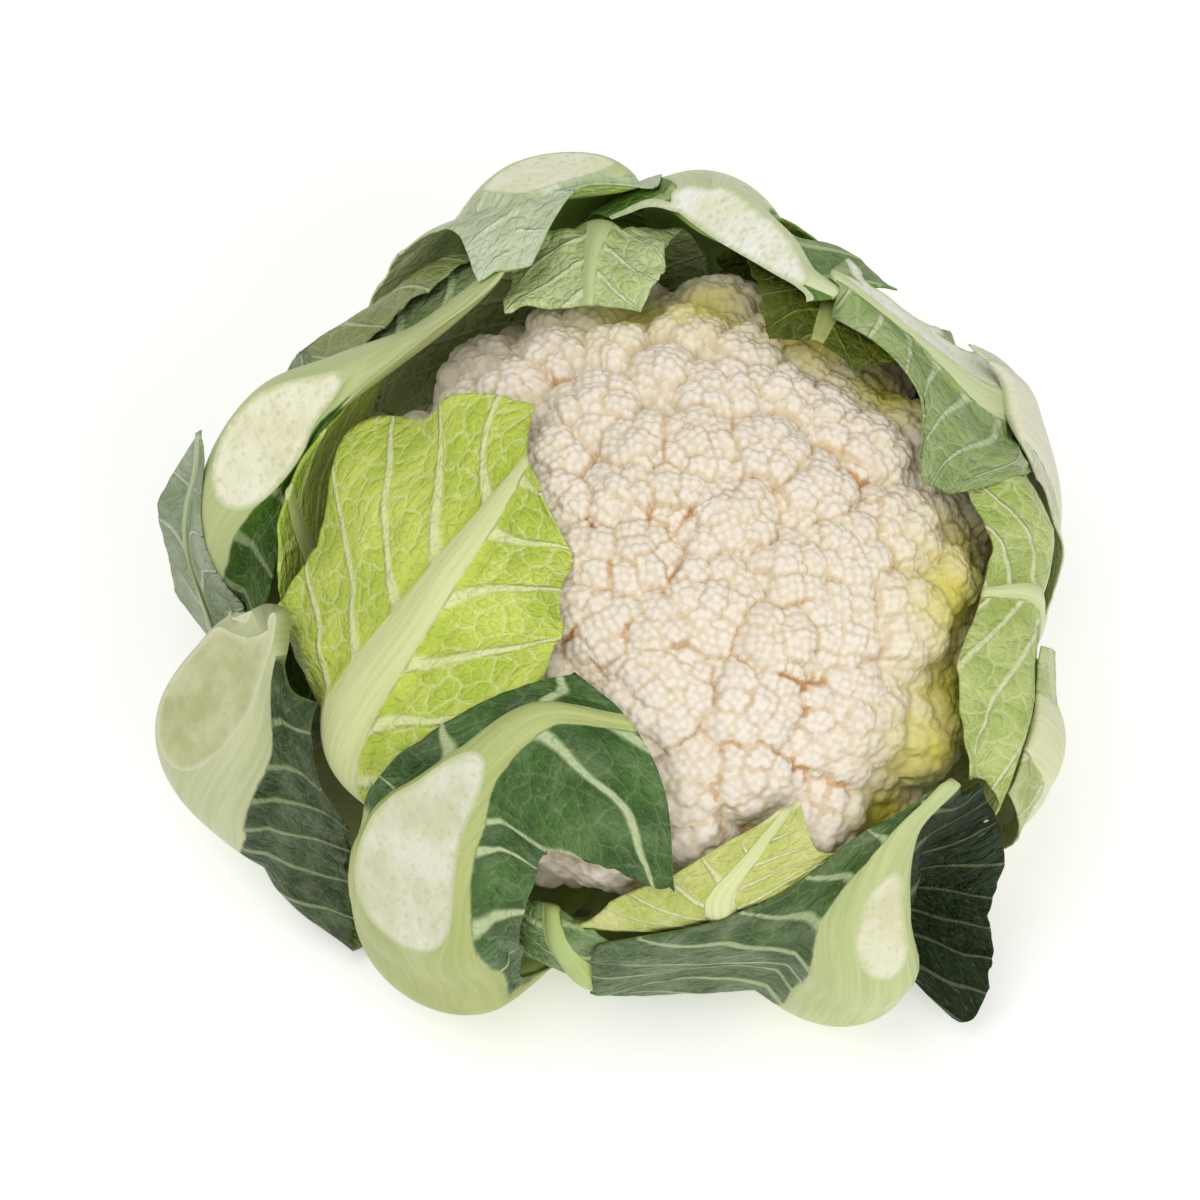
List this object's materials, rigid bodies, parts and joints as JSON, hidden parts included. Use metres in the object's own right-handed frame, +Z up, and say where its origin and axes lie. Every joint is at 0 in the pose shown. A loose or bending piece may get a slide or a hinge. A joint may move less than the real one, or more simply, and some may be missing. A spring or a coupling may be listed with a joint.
{
  "type": "cauliflower",
  "caption": "Trimmed cauliflower: a curd of close-packed florets on a short cut stalk, wrapped in overlapping ribbed leaves with knife-shaved shoulders; it stands on its cut stalk.",
  "frame": {"origin": "middle of the cut face under the stalk, on the floor", "axes": "+Z up along the stalk to the crown of the curd; +X and +Y level, with the side that the picture is taken from at -Y"},
  "size_m": [0.2218, 0.2124, 0.1323],
  "materials": {
    "curd": "matte cream curd, browner in its creases",
    "stalk": "matte pale green stalk with a whitish cut end",
    "leaf_inner": "satin yellow-green blade with pale veins",
    "leaf_outer": "satin green blade with pale veins and ribs",
    "leaf_waxy": "satin grey-green blade with a waxy bloom and pale veins",
    "leaf_rib": "satin pale green rib, whitish where it is cut"
  },
  "bodies": {
    "root": {"curd": "curd", "stalk": "stalk", "leaf_left_small": "leaf_inner", "leaf_left_inner": "leaf_inner", "leaf_back_inner": "leaf_inner", "leaf_right_back_inner": "leaf_inner", "leaf_right_inner": "leaf_inner", "leaf_front_inner": "leaf_inner", "leaf_front_low": "leaf_outer", "leaf_left_back": "leaf_outer", "leaf_back_right": "leaf_outer", "leaf_left_outer": "leaf_waxy", "leaf_left_low": "leaf_waxy", "leaf_front_left": "leaf_outer", "leaf_front_right": "leaf_outer", "leaf_right_back": "leaf_outer", "leaf_right_low": "leaf_rib", "leaf_right_outer": "leaf_rib", "leaf_back_left": "leaf_rib"}
  },
  "joints": []
}
